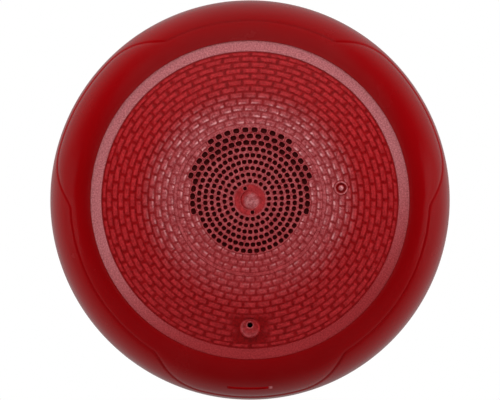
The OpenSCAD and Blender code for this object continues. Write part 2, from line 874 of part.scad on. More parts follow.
mounting_plate();
hinge_pins();
threaded_insert();
terminal_block();
terminal_contacts();
terminal_clamps();
terminal_screws();
bezel();
grille();
dust_screen();
baffle();
baffle_screws();
rear_shell();
shell_screws();
circuit_board();
board_screws();
transformer_core();
transformer_bobbin();
transformer_winding();
line_capacitor();
board_resistors();
contact_blades();
tap_switch();
tap_rotor();
voltage_switch();
voltage_rotor();
speaker_gasket();
speaker_frame();
speaker_screws();
yoke();
magnet();
top_plate();
tag_strip();
speaker_leads();
spider();
surround();
cone();
voice_coil();
dust_cap();
screw_washer();
captive_screw();
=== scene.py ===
import math

import bmesh
import bpy
import numpy as np
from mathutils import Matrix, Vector


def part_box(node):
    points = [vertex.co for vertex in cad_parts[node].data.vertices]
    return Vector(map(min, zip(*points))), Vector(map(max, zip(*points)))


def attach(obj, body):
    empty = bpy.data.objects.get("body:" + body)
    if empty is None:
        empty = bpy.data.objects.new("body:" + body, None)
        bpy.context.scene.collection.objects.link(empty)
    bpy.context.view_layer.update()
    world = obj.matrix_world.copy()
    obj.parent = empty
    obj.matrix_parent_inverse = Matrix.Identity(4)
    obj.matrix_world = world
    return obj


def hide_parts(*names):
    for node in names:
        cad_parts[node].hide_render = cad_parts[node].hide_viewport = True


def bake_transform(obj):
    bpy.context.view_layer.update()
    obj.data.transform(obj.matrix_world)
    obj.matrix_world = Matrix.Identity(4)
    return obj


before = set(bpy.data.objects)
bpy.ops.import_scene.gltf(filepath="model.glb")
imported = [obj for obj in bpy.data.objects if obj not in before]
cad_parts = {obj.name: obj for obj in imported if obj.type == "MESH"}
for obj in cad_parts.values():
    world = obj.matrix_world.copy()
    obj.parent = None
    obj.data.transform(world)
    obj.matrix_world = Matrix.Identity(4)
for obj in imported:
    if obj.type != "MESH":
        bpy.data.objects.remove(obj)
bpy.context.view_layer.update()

# Lengths are in millimetres until a mesh is made. Shapes are drawn in face
# coordinates: x to the right, y up, z out of the wall, towards -Y.
MM = 0.001
WALL = 2.2
SCREW_Y = 53.8
RING_IN = 64.1
BUTTON_LIFT = 0.35
HEAD_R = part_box("bezel")[1].z / MM
LIP_Z = -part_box("bezel")[0].y / MM
FOOT_Z = -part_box("bezel")[1].y / MM
RING_Z = LIP_Z - 0.5
RING_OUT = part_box("grille")[1].x / MM + 0.1
DOME_TOP = -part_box("grille")[0].y / MM - BUTTON_LIFT


def smoothstep(t):
    t = np.clip(t, 0.0, 1.0)
    return t * t * (3 - 2 * t)


def polar(r, degrees):
    """Face coordinates of a point at a clockwise angle from the top."""
    a = np.radians(degrees)
    return r * np.sin(a), r * np.cos(a)


def beside(centre, a, r):
    """Face coordinates at a distance from a centre, at a clockwise angle in radians."""
    return centre[0] + np.sin(a) * r, centre[1] + np.cos(a) * r


# ---------------------------------------------------------------- materials


def rgb(r, g, b):
    """An sRGB colour, 0 to 255, as linear RGBA."""
    def linear(c):
        c /= 255
        return c / 12.92 if c <= 0.04045 else ((c + 0.055) / 1.055) ** 2.4
    return linear(r), linear(g), linear(b), 1.0


class Shader:
    """A short way to build node materials."""

    def __init__(self, name):
        self.material = bpy.data.materials.new(name)
        self.material.use_nodes = True
        self.tree = self.material.node_tree
        self.bsdf = self.tree.nodes["Principled BSDF"]
        self.coords = self.tree.nodes.new("ShaderNodeTexCoord").outputs["Object"]

    def node(self, kind, **inputs):
        n = self.tree.nodes.new("ShaderNode" + kind)
        for key, value in inputs.items():
            self.feed(n.inputs[key.replace("_", " ")], value)
        return n

    def feed(self, socket, value):
        if isinstance(value, bpy.types.NodeSocket):
            self.tree.links.new(value, socket)
        else:
            socket.default_value = value

    def set(self, **inputs):
        for key, value in inputs.items():
            self.feed(self.bsdf.inputs[key.replace("_", " ")], value)

    def place(self, stretch):
        return self.node("Mapping", Vector=self.coords, Scale=stretch).outputs["Vector"]

    def noise(self, scale, detail=3.0, roughness=0.55, stretch=(1, 1, 1)):
        return self.node("TexNoise", Vector=self.place(stretch), Scale=scale, Detail=detail,
                         Roughness=roughness).outputs["Fac"]

    def cells(self, scale, stretch=(1, 1, 1)):
        return self.node("TexVoronoi", Vector=self.place(stretch), Scale=scale).outputs["Distance"]

    def waves(self, scale, axis, distortion=0.0):
        n = self.node("TexWave", Vector=self.coords, Scale=scale, Distortion=distortion)
        n.bands_direction = axis
        return n.outputs["Fac"]

    def ramp(self, value, low, high, start=0.3, end=0.7):
        n = self.node("ValToRGB", Fac=value)
        for element, position, color in zip(n.color_ramp.elements, (start, end), (low, high)):
            element.position, element.color = position, color
        return n.outputs["Color"]

    def between(self, value, low, high, start=0.3, end=0.7):
        return self.node("MapRange", Value=value, From_Min=start, From_Max=end, To_Min=low,
                         To_Max=high).outputs["Result"]

    def math(self, how, a, b):
        n = self.tree.nodes.new("ShaderNodeMath")
        n.operation = how
        self.feed(n.inputs[0], a)
        self.feed(n.inputs[1], b)
        return n.outputs["Value"]

    def mix(self, share, a, b, how="MIX"):
        n = self.tree.nodes.new("ShaderNodeMix")
        n.data_type, n.blend_type = "RGBA", how
        color_inputs = [s for s in n.inputs if s.type == "RGBA"]
        self.feed(n.inputs[0], share)
        self.feed(color_inputs[0], a)
        self.feed(color_inputs[1], b)
        return [s for s in n.outputs if s.type == "RGBA"][0]

    def paint(self):
        """The mesh's three painted values; the grille's are top share, pink share (painted light) and glint
        (painted highlights).
        """
        n = self.tree.nodes.new("ShaderNodeVertexColor")
        n.layer_name = "paint"
        split = self.node("SeparateColor", Color=n.outputs["Color"])
        return split.outputs["Red"], split.outputs["Green"], split.outputs["Blue"]

    def bump(self, height, strength, distance):
        n = self.node("Bump", Strength=strength, Distance=distance, Height=height)
        self.set(Normal=n.outputs["Normal"])


def moulded(name, low, high, rough=(0.35, 0.5), grain=1400, **extra):
    """Injection-moulded plastic: a slow colour drift, a fine grain and uneven gloss."""
    s = Shader(name)
    s.set(Base_Color=s.ramp(s.noise(35, 4), low, high),
          Roughness=s.between(s.noise(90), *rough), **extra)
    s.bump(s.noise(grain, 4, 0.7), 0.4, 0.00004)
    return s.material


def metal(name, low, high, rough=(0.22, 0.4), stretch=(1, 1, 1)):
    """Plated, pressed or turned metal with fine scratches and small stains."""
    s = Shader(name)
    s.set(Base_Color=s.ramp(s.noise(160, 5), low, high), Metallic=1.0,
          Roughness=s.between(s.noise(700, 4, 0.6, stretch), *rough))
    s.bump(s.noise(900, 3, 0.6, stretch), 0.3, 0.00002)
    return s.material


def woven(name, low, high, pitch, rough=0.85, sheen=0.0):
    """Plain-woven cloth: threads over and under in two directions."""
    s = Shader(name)
    weave = s.math("MULTIPLY", s.waves(pitch, "X"), s.waves(pitch, "Z"))
    s.set(Base_Color=s.mix(s.noise(300, 3), s.ramp(weave, low, high, 0.1, 0.7), high),
          Roughness=rough, Sheen_Weight=sheen)
    s.bump(weave, 0.6, 0.00012)
    return s.material


def wound(name, low, high, pitch, axis):
    """Fine wire or tape laid turn beside turn."""
    s = Shader(name)
    turns = s.waves(pitch, axis, 0.4)
    s.set(Base_Color=s.ramp(turns, low, high, 0.1, 0.8), Roughness=s.between(s.noise(200), 0.25, 0.4),
          Coat_Weight=0.4, Coat_Roughness=0.2)
    s.bump(turns, 0.5, 0.0001)
    return s.material


def gloss_red():
    """The bezel's polished finish, with painted light making the slot's floor brighter in its shade, and
    paler on its tab.
    """
    s = Shader("bezel_gloss_red")
    _, slot_floor, tab = s.paint()
    color = s.ramp(s.noise(18, 2), (0.22, 0.0005, 0.0016, 1), (0.24, 0.0008, 0.0022, 1))
    # painted light: the slot's floor is brighter red where it lies in shade
    color = s.mix(slot_floor, color, (0.5, 0.001, 0.004, 1))
    s.set(Base_Color=s.mix(tab, color, (0.5, 0.14, 0.15, 1)),
          Roughness=s.between(s.noise(60, 4), 0.2, 0.28), Specular_IOR_Level=0.16)
    s.bump(s.noise(170, 2), 0.05, 0.0002)
    return s.material


def etched_red(name, plain, pink, rough, grain, spots):
    """The grille's spark-eroded finish, painted paler where it catches the light, with painted glints."""
    s = Shader(name)
    top, pinkness, glint = s.paint()
    speckle = s.noise(grain, 3, 0.75)
    # the joints keep a plain dark red; on the tops the pink share mixes in painted light
    color = s.mix(top, (0.33, 0.003, 0.005, 1), s.mix(pinkness, plain, pink))
    shade = s.ramp(speckle, (0.62, 0.45, 0.45, 1), (1.06, 1.1, 1.1, 1), 0.36, 0.64)
    color = s.mix(1.0, color, shade, "MULTIPLY")
    pits = s.math("MULTIPLY", pinkness, s.between(s.noise(1100, 2, 0.6), 0.0, spots, 0.5, 0.62))
    color = s.mix(pits, color, (0.26, 0.006, 0.012, 1))
    # painted glints, broken up by noise
    painted_glint = s.math("MULTIPLY", glint, s.between(s.noise(520, 2, 0.6), 0.0, 1.0, 0.4, 0.58))
    s.set(Base_Color=s.mix(painted_glint, color, (0.95, 0.48, 0.5, 1)),
          Roughness=s.between(top, *rough, 0.0, 1.0), Specular_IOR_Level=0.1, Diffuse_Roughness=1.0)
    s.bump(speckle, 0.5, 0.00009)
    return s.material


# ---------------------------------------------------------------- mesh building


class Builder:
    """Collects vertices and faces in face coordinates, in millimetres."""

    def __init__(self):
        self.points = []
        self.paints = []
        self.faces = []
        self.marks = []

    def loop(self, x, y, z, top=1.0, pink=0.0, glint=0.0):
        start = len(self.points)
        x, y, z, top, pink, glint = np.broadcast_arrays(x, y, z, top, pink, glint)
        self.points.extend(zip(x.tolist(), y.tolist(), z.tolist()))
        self.paints.extend(zip(top.tolist(), pink.tolist(), glint.tolist()))
        return list(range(start, len(self.points)))

    def face(self, corners, mark=0):
        if len(set(corners)) > 2:
            self.faces.append(tuple(corners))
            self.marks.append(mark)

    def strip(self, a, b, mark=0):
        """Quads between two closed loops of the same length."""
        for i in range(len(a)):
            j = (i + 1) % len(a)
            self.face((a[i], a[j], b[j], b[i]), mark)

    def zipper(self, a, b, angles_a, angles_b, mark=0, flip=False):
        """Triangles between two closed loops of different lengths, matched by angle."""
        order_a, order_b = np.argsort(angles_a % 360), np.argsort(angles_b % 360)
        angles_a, angles_b = (angles_a % 360)[order_a], (angles_b % 360)[order_b]
        a, b = [a[i] for i in order_a], [b[i] for i in order_b]
        i = j = 0
        while i < len(a) or j < len(b):
            next_a = angles_a[i + 1] if i + 1 < len(a) else angles_a[0] + 360
            next_b = angles_b[j + 1] if j + 1 < len(b) else angles_b[0] + 360
            if j >= len(b) or (i < len(a) and next_a <= next_b):
                corners = (a[i % len(a)], a[(i + 1) % len(a)], b[j % len(b)])
                i += 1
            else:
                corners = (a[i % len(a)], b[(j + 1) % len(b)], b[j % len(b)])
                j += 1
            self.face(corners[::-1] if flip else corners, mark)

    def build(self, name, materials, smooth_angle=32):
        used = sorted({i for f in self.faces for i in f})
        place = {old: new for new, old in enumerate(used)}
        co = [(self.points[i][0] * MM, -self.points[i][2] * MM, self.points[i][1] * MM) for i in used]
        mesh = bpy.data.meshes.new(name)
        mesh.from_pydata(co, [], [tuple(place[i] for i in f) for f in self.faces])
        for m in materials:
            mesh.materials.append(m)
        mesh.polygons.foreach_set("material_index", self.marks)
        mesh.polygons.foreach_set("use_smooth", [True] * len(mesh.polygons))
        paint = mesh.color_attributes.new("paint", "FLOAT_COLOR", "POINT")
        paint.data.foreach_set("color", [v for i in used for v in (*self.paints[i], 1.0)])
        outward = bmesh.new()
        outward.from_mesh(mesh)
        bmesh.ops.recalc_face_normals(outward, faces=outward.faces)
        outward.to_mesh(mesh)
        outward.free()
        mesh.set_sharp_from_angle(angle=math.radians(smooth_angle))
        piece = bpy.data.objects.new(name, mesh)
        bpy.context.scene.collection.objects.link(piece)
        return piece


# ---------------------------------------------------------------- grille

CROWN_R, CROWN_SLOPE = 44.0, math.radians(11.2)
SLOPE_R, SKIRT_SLOPE = 52.0, math.radians(27.0)
CROWN_RADIUS = CROWN_R / math.sin(CROWN_SLOPE)
BLEND_RADIUS = (SLOPE_R - CROWN_R) / (math.sin(SKIRT_SLOPE) - math.sin(CROWN_SLOPE))
CROWN_END = DOME_TOP - CROWN_RADIUS * (1 - math.cos(CROWN_SLOPE))
BLEND_X = CROWN_R - BLEND_RADIUS * math.sin(CROWN_SLOPE)
BLEND_Z = CROWN_END - BLEND_RADIUS * math.cos(CROWN_SLOPE)
BRICKS = 48
CELL = 360 / BRICKS
HOLE_PITCH = 2.75
SQUARENESS = 2.6
BOSS = (0.0, -SCREW_Y - 1.2)
BOSS_Z = 49.6
BOSS_REACH, BOSS_FOOT_R = 4.8, 4.2
ACCESS_R = 1.1
DIMPLE = polar(39.5, 82.5)
DIMPLE_REACH, DIMPLE_BACK_R = 3.0, 2.6
TOWER_ROWS, DIMPLE_ROWS = (10, 15), (5, 8)
# rings of holes as (number of the ring, holes, turn of the first one)
FULL_RINGS = [(3, 21, 0.0), (4, 28, 9.0), (5, 35, 4.6), (6, 42, 0.0), (7, 48, 3.75), (8, 48, 0.0)]
ARC_HOLES = (28, 19, 10)
PLAIN_ROW, PLAIN_ROW_END = len(ARC_HOLES), 32.7
ROW_PITCH = 2.83
ROW_END = RING_IN - 0.5
ROW_STEPS = [0.0, 0.08, 0.26, 0.5, 0.74, 0.92]
CELL_STEPS = [0.06, 0.15, 0.25, 0.35, 0.44]


def dome(x, y):
    """Height of the dome's smooth outer surface."""
    r = np.hypot(x, y)
    crown = DOME_TOP - CROWN_RADIUS + np.sqrt(np.maximum(CROWN_RADIUS ** 2 - r ** 2, 0))
    blend = BLEND_Z + np.sqrt(np.maximum(BLEND_RADIUS ** 2 - (r - BLEND_X) ** 2, 0))
    skirt = RING_Z + (RING_IN - r) * math.tan(SKIRT_SLOPE)
    return np.where(r < CROWN_R, crown, np.where(r < SLOPE_R, blend, skirt))


def row_edges():
    """Three rows at the holes' pitch, a narrow plain one, then rows of one width along the dome's curve."""
    first = FULL_RINGS[-1][0] + 1
    edges = [HOLE_PITCH * (first + k - 0.5) for k in range(PLAIN_ROW + 1)] + [PLAIN_ROW_END]
    while True:
        r = edges[-1] + ROW_PITCH / 2
        if r < CROWN_R:
            slope = math.asin(r / CROWN_RADIUS)
        elif r < SLOPE_R:
            slope = math.asin((r - BLEND_X) / BLEND_RADIUS)
        else:
            slope = SKIRT_SLOPE
        step = ROW_PITCH * math.cos(slope)
        if edges[-1] + step > ROW_END:
            return np.array(edges + [ROW_END])
        edges.append(edges[-1] + step)


def row_turn(row):
    """Bricks and holes of every other row sit half a cell on; the plain row changes the order."""
    return np.where((row + (row < PLAIN_ROW)) % 2 == 0, 0.0, CELL / 2)


ROW_EDGES = row_edges()


def pale(x, y, reach, low, lean=0.0):
    """Painted light from above: a share from low at the bottom to 1 at the top, so the etched finish is
    redder towards the bottom and paler towards the top.
    """
    return low + (1 - low) * smoothstep((y - lean * x + reach) / (1.1 * reach))


def bricks(x, y):
    """Shares across and along a brick, 0 in a joint to 1 on its top, and where it catches the light."""
    r = np.hypot(x, y)
    deg = np.degrees(np.arctan2(x, y)) % 360
    row = np.clip(np.searchsorted(ROW_EDGES, r + 1e-6) - 1, 0, len(ROW_EDGES) - 2)
    s = (r - ROW_EDGES[row]) / (ROW_EDGES[row + 1] - ROW_EDGES[row])
    v = ((deg - row_turn(row)) / CELL + 0.5) % 1.0 - 0.5
    brick = np.round((deg - row_turn(row)) / CELL) % BRICKS
    # the end that catches the light changes from brick to brick
    side = np.sin(brick * 2.4 + row * 1.7)
    across = smoothstep((0.42 - np.abs(s - 0.5)) / 0.18)
    along = smoothstep((0.44 - np.abs(v)) / 0.09)
    lit = smoothstep(1.1 - np.abs(s - 0.26) / 0.2) * smoothstep(0.6 + 1.6 * v * np.sign(side))
    plain = row == PLAIN_ROW
    return np.where(plain, 1.0, across), np.where(plain, 1.0, along), np.where(plain, 0.0, lit * along)


def textured(x, y, keep=1.0, extra=0.0):
    """Height and paint of the brickwork at a point; keep fades the bricks out."""
    r = np.hypot(x, y)
    across, along, lit = bricks(x, y)
    outer = smoothstep((r - 34) / 14)
    share = np.maximum(across * along * keep, extra)
    depth = 0.2 + 0.12 * outer
    joint = 0.6 + 0.35 * outer
    top = np.minimum(1 - joint * (1 - across), 1 - joint * (1 - along))
    top = np.maximum(top * keep, extra)
    # painted light: the pink grows towards the crown, which faces the light, and towards the top; the
    # glints are painted highlights on the crown's bricks
    pink = 0.75 * smoothstep((50.5 - r) / 15) * pale(x, y, 60, 0.12)
    glint = lit * keep * smoothstep((47 - r) / 9) * pale(x, y, 46, 0.12)
    return dome(x, y) - depth * (1 - share), top, pink, glint


class Grille(Builder):
    plate, face_red = range(2)

    def circle(self, r, angles, under, pink=0.0):
        """A plain circle on the dome's outer surface, or on its underside."""
        x, y = polar(r, angles)
        if under:
            return self.loop(x, y, dome(x, y) - WALL, 0.0)
        # the pink on the outer surface is painted light, paler towards the top
        return self.loop(x, y, dome(x, y), 0.88, pink * pale(x, y, 60, 0.25))

    def hole(self, edges, centre, r_round, r_along):
        """A hole through the wall, between matching outlines of its cell above and below."""
        cx, cy = centre
        turn = math.atan2(cx, cy)
        outline = np.array([self.points[i][:2] for i in edges[0]])
        a = np.arctan2(outline[:, 0] - cx, outline[:, 1] - cy)
        # a rounded square, as a superellipse
        shares = (np.abs(np.cos(a - turn) / r_round), np.abs(np.sin(a - turn) / r_along))
        size = sum(share ** SQUARENESS for share in shares) ** (-1 / SQUARENESS)
        last = edges[0]
        for grow, down, top in ((0.22, 0.0, 0.9), (0.08, 0.02, 0.7), (0.0, 0.14, 0.2), (0.0, WALL, 0.0)):
            x, y = beside(centre, a, size + grow)
            # the pink round the hole is painted light, paler towards the top
            ring = self.loop(x, y, dome(x, y) - down, top, 0.9 * top * pale(x, y, 60, 0.25))
            self.strip(ring, last, self.face_red)
            last = ring
        self.strip(edges[1], last, self.face_red)

    def pair(self, rows, k, i, j, mark):
        """A face of the grid above, and its mate on the underside."""
        top, low = rows
        self.face((top[k][i], top[k][j], top[k + 1][j], top[k + 1][i]), mark)
        self.face((low[k][i], low[k + 1][i], low[k + 1][j], low[k][j]), mark)

    @staticmethod
    def outline(rows, span, low, high):
        """The loops of vertices around a block of the grid, above and below."""
        return [[side[low][i] for i in span] + [side[k][span[-1]] for k in range(low + 1, high)]
                + [side[high][i] for i in span[::-1]] + [side[k][span[0]] for k in range(high - 1, low, -1)]
                for side in rows]

    def button(self):
        """The smooth disc at the centre, with its raised button in a groove."""
        angles = np.arange(0, 360, 3.0)
        # radius, lift over the dome, and painted shade on the left side, below zero for a painted highlight
        # there
        profile = [(0.8, BUTTON_LIFT, 0.0), (1.6, 0.33, 0.0), (2.4, 0.25, 0.0), (3.0, 0.12, 0.0),
                   (3.5, 0.0, 0.3), (3.7, -0.15, 1.0), (3.9, -0.15, 1.0), (4.1, 0.0, 0.2),
                   (4.35, 0.03, -0.5), (4.6, 0.0, 0.0)]
        rows = [[], []]
        for r, lift, painted_shading in profile:
            x, y = polar(r, angles)
            left = smoothstep((1.5 - x - 0.4 * y) / 4)
            # a painted highlight on the button, a little right of and below its centre
            spot = smoothstep((4.1 - np.hypot(x - 0.6, y + 0.5)) / 2.0)
            top, pink = 0.8 - 0.7 * max(painted_shading, 0.0) * left, 0.15 + 0.7 * left * max(-painted_shading, 0.0)
            rows[0].append(self.loop(x, y, dome(x, y) + lift, top, np.maximum(spot, pink), 0.25 * spot))
            rows[1].append(self.circle(r, angles, True))
        self.face(rows[0][0], self.face_red)
        self.face(rows[1][0][::-1], self.face_red)
        for k in range(len(profile) - 1):
            for i in range(len(angles)):
                self.pair(rows, k, i, (i + 1) % len(angles), self.face_red)
        return (rows[0][-1], rows[1][-1]), angles

    def band(self, edge, r_in, r_out, cells, phase, per_cell, holes, size, pink):
        """A ring of cells, each plain or with a hole, zipped to the edge of what lies inside it."""
        total, steps = cells * per_cell, 4
        angles = phase - 180 / cells + 360 * np.arange(total) / total
        radii = np.linspace(r_in, r_out, steps + 1)
        rows = [[self.circle(r, angles, under, pink) for r in radii] for under in (False, True)]
        for under in (0, 1):
            self.zipper(edge[0][under], rows[under][0], edge[1], angles, self.face_red, bool(under))
        for c in range(cells):
            span = [(c * per_cell + i) % total for i in range(per_cell + 1)]
            if c in holes:
                middle = polar((r_in + r_out) / 2, phase + 360 * c / cells)
                self.hole(self.outline(rows, span, 0, steps), middle, *size)
            else:
                for k in range(steps):
                    for i, j in zip(span, span[1:]):
                        self.pair(rows, k, i, j, self.face_red)
        return (rows[0][-1], rows[1][-1]), angles

    def brickwork(self, edge):
        """The rows of bricks, with the arcs of holes, the tower and the dimple in them."""
        lines = np.array([0.0] + CELL_STEPS + [0.5] + [0.5 + s for s in CELL_STEPS])
        angles = np.concatenate([CELL * (c + lines) for c in range(BRICKS)])
        per_cell, total, per_row = len(lines), len(lines) * BRICKS, len(ROW_STEPS)
        radii = [a + (b - a) * s for a, b in zip(ROW_EDGES, ROW_EDGES[1:]) for s in ROW_STEPS]
        radii.append(ROW_EDGES[-1])
        rows = [[], []]
        for r in radii:
            x, y = polar(r, angles)
            rows[0].append(self.loop(x, y, *textured(x, y)))
            rows[1].append(self.circle(r, angles, True))
        for under in (0, 1):
            self.zipper(edge[0][under], rows[under][0], edge[1], angles, self.face_red, bool(under))
        taken = np.zeros((len(radii), total), bool)

        def block(row_lo, row_hi, a_lo, a_hi):
            """Takes a block of cells out of the grid and returns its outlines."""
            first = round(a_lo % 360 / CELL * per_cell)
            count = round((a_hi - a_lo) / CELL * per_cell)
            span = [(first + k) % total for k in range(count + 1)]
            taken[row_lo * per_row:row_hi * per_row, span[:-1]] = True
            return self.outline(rows, span, row_lo * per_row, row_hi * per_row)

        for row, count in enumerate(ARC_HOLES):
            for i in range(count):
                a = (i - (count - 1) / 2) * CELL
                middle = polar(ROW_EDGES[row:row + 2].mean(), a)
                cell = block(row, row + 1, a - CELL / 2, a + CELL / 2)
                self.hole(cell, middle, 1.04, 1.32)
        self.tower(block(*TOWER_ROWS, 180 - 1.5 * CELL, 180 + 1.5 * CELL))
        self.dimple(block(*DIMPLE_ROWS, 10 * CELL, 12 * CELL))
        for k in range(len(radii) - 1):
            for i in np.flatnonzero(~taken[k]):
                self.pair(rows, k, i, (i + 1) % total, self.face_red)
        return (rows[0][-1], rows[1][-1]), angles

    def around(self, edges, centre):
        """Directions and distances from a centre to the outline of a block."""
        outline = np.array([self.points[i][:2] for i in edges[0]]) - centre
        return np.arctan2(outline[:, 0], outline[:, 1]), np.hypot(*outline.T)

    def tower(self, edges):
        """The screw tower: a spot-faced round boss with the screwdriver's hole."""
        a, far = self.around(edges, BOSS)
        last = edges[0]
        for share in np.linspace(1, 0, 26)[1:]:
            reach = BOSS_REACH + (far - BOSS_REACH) * share
            x, y = beside(BOSS, a, reach)
            # the bricks fade out around the boss, and a smooth blob stands at each side of it
            fringe = np.maximum(smoothstep((np.abs(x) - 6.0) / 4), smoothstep((51.2 - np.hypot(x, y)) / 2))
            blob = 0.7 * np.exp(-((np.abs(x) - 6.6) ** 2 + (y + 56.3) ** 2) / 0.9)
            ring = self.loop(x, y, *textured(x, y, fringe, blob))
            self.strip(ring, last, self.face_red)
            last = ring
        # the boss, from its foot to the hole, as radius, depth below its face, top share and pink
        # share; the centres of the rings move to the hole's
        profile = [(4.45, None, 0.0, 0.0), (4.35, 1.1, 0.1, 0.0), (4.25, 0.55, 0.3, 0.1),
                   (4.05, 0.25, 0.5, 0.4), (3.7, 0.07, 0.7, 0.7), (3.3, 0.0, 0.7, 0.55),
                   (2.7, 0.0, 0.5, 0.3), (2.1, 0.0, 0.5, 0.2), (1.75, 0.0, 0.5, 0.3),
                   (1.55, 0.0, 0.9, 0.8), (1.3, 0.06, 0.8, 0.8), (ACCESS_R, 0.3, 0.1, 0.0),
                   (ACCESS_R, 3.0, 0.0, 0.0)]
        for r, down, top, pink in profile:
            shift = 1.2 * smoothstep((3.9 - r) / 2.0)
            x, y = beside((BOSS[0], BOSS[1] + shift), a, r)
            ground = textured(x, y, 0.0)[0]
            z = ground if down is None else np.full_like(x, BOSS_Z - down)
            if down is not None and r > BOSS_FOOT_R:
                z = np.where(BOSS_Z - down < ground, np.minimum(ground, BOSS_Z), z)
            # painted highlight: the boss's rim is pinker on its lower left side
            lit_lower_left = smoothstep(0.6 - 0.9 * np.cos(a - math.radians(35)))
            ring = self.loop(x, y, z, top, pink if r < 1.7 else pink * (0.15 + 0.85 * lit_lower_left))
            self.strip(ring, last, self.face_red)
            last = ring
        self.close_under(edges[1], a, BOSS, [(4.0, WALL + 0.8), (ACCESS_R + 0.8, WALL + 0.8)], last)

    def close_under(self, low, a, centre, profile, last):
        """The underside of a block, from its outline in to the last ring of what is above it."""
        for r, down in profile:
            x, y = beside(centre, a, r)
            ring = self.loop(x, y, dome(x, y) - down, 0.0)
            self.strip(low, ring, self.face_red)
            low = ring
        self.strip(low, last, self.face_red)

    def dimple(self, edges):
        """The round moulding mark: a shallow recess with a small domed nub in it."""
        a, far = self.around(edges, DIMPLE)
        last = edges[0]
        for share in np.linspace(1, 0, 14)[1:]:
            reach = DIMPLE_REACH + (far - DIMPLE_REACH) * share
            x, y = beside(DIMPLE, a, reach)
            ring = self.loop(x, y, *textured(x, y, smoothstep((reach - 2.9) / 0.7)))
            self.strip(ring, last, self.face_red)
            last = ring
        # radius, lift over the dome, top share, pink share and glint; the pink and glint are painted
        # highlights on the rim and the nub
        profile = [(2.85, -0.05, 1.0, 0.5, 0.1), (2.6, 0.02, 1.0, 0.7, 0.35), (2.4, -0.05, 0.9, 0.6, 0.2),
                   (2.2, -0.3, 0.2, 0.2, 0.0), (2.05, -0.85, 0.0, 0.0, 0.0), (1.7, -1.0, 0.0, 0.0, 0.0),
                   (1.35, -1.0, 0.1, 0.1, 0.0), (1.25, -0.75, 0.3, 0.4, 0.0), (1.1, -0.4, 0.7, 0.7, 0.0),
                   (0.85, -0.18, 1.0, 1.0, 0.3), (0.5, -0.04, 1.0, 1.0, 0.9), (0.25, 0.0, 1.0, 1.0, 1.0)]
        for r, lift, top, pink, glint in profile:
            x, y = beside(DIMPLE, a, r)
            ring = self.loop(x, y, dome(x, y) + lift, top, pink, glint)
            self.strip(ring, last, self.face_red)
            last = ring
        self.face(last, self.face_red)
        x, y = beside(DIMPLE, a, DIMPLE_BACK_R)
        low = self.loop(x, y, dome(x, y) - WALL, 0.0)
        self.strip(edges[1], low, self.face_red)
        self.face(low[::-1], self.face_red)

    def rim(self, edge):
        """The flat ring around the dome and its lower face."""
        outer = RING_OUT - 0.04
        profile = [(RING_IN - 0.08, RING_Z - 0.25), (RING_IN, RING_Z - 0.08), (RING_IN + 0.12, RING_Z),
                   (65.6, RING_Z), (67.2, RING_Z), (outer - 0.1, RING_Z), (outer, RING_Z - 0.1),
                   (outer, RING_Z - WALL), (ROW_END, RING_Z - WALL)]
        last = edge[0][0]
        for k, (r, z) in enumerate(profile):
            # the first two circles are the groove between the dome and the ring
            flat = k > 1
            x, y = polar(r, edge[1])
            # painted light: the flat ring is paler and pinker towards the top, where the light falls, and
            # darker and redder towards the bottom
            light = pale(x, y, 66, 0.16, 0.3)
            ring = self.loop(x, y, z, 0.4 + 0.6 * light if flat else 0.3, light)
            self.strip(last, ring, self.plate if flat else self.face_red)
            last = ring
        self.strip(last, edge[0][1], self.plate)


def make_grille():
    g = Grille()
    edge = g.button()
    # two single holes, at 336.6 and 168.6 degrees, in a ring of fifteen cells beside the button
    edge = g.band(edge, 4.25, 6.5, 15, 336.6 - 24 * 14, 6, (14, 7), (0.78, 0.78), 0.12)
    for ring, count, phase in FULL_RINGS:
        r = ring * HOLE_PITCH
        # the holes grow a little outwards, more along the ring than across it
        size = (0.84 + 0.018 * (ring - 3), 0.86 + 0.04 * (ring - 3))
        edge = g.band(edge, r - 1.3, r + 1.3, count, phase, 5, range(count), size, 0.85)
    g.rim(g.brickwork(edge))
    return g


# each: plain red, the pink of its painted light, roughness, grain scale and pits
ring_red = etched_red("grille_ring_red", (0.62, 0.045, 0.055, 1), (0.7, 0.25, 0.27, 1),
                      (0.5, 0.62), 1500, 0.12)
face_red = etched_red("grille_face_red", (0.53, 0.024, 0.03, 1), (0.6, 0.16, 0.175, 1),
                      (0.45, 0.55), 900, 0.75)
grille = make_grille().build("grille_face", [ring_red, face_red])
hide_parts("grille")
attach(grille, "head")


# ---------------------------------------------------------------- bezel

# radii of the crease's near and far parts
CREASE_NEAR, CREASE_FAR = 77.2, 85.2
SLOT_HALF = 9.6
TAB_FROM, TAB_TO = 7.9, 9.3
# where the slot lies between the lip and the crease, as shares of that way
SLOT_FROM, SLOT_TO = 0.63, 0.692
SEAT_R = 64.6


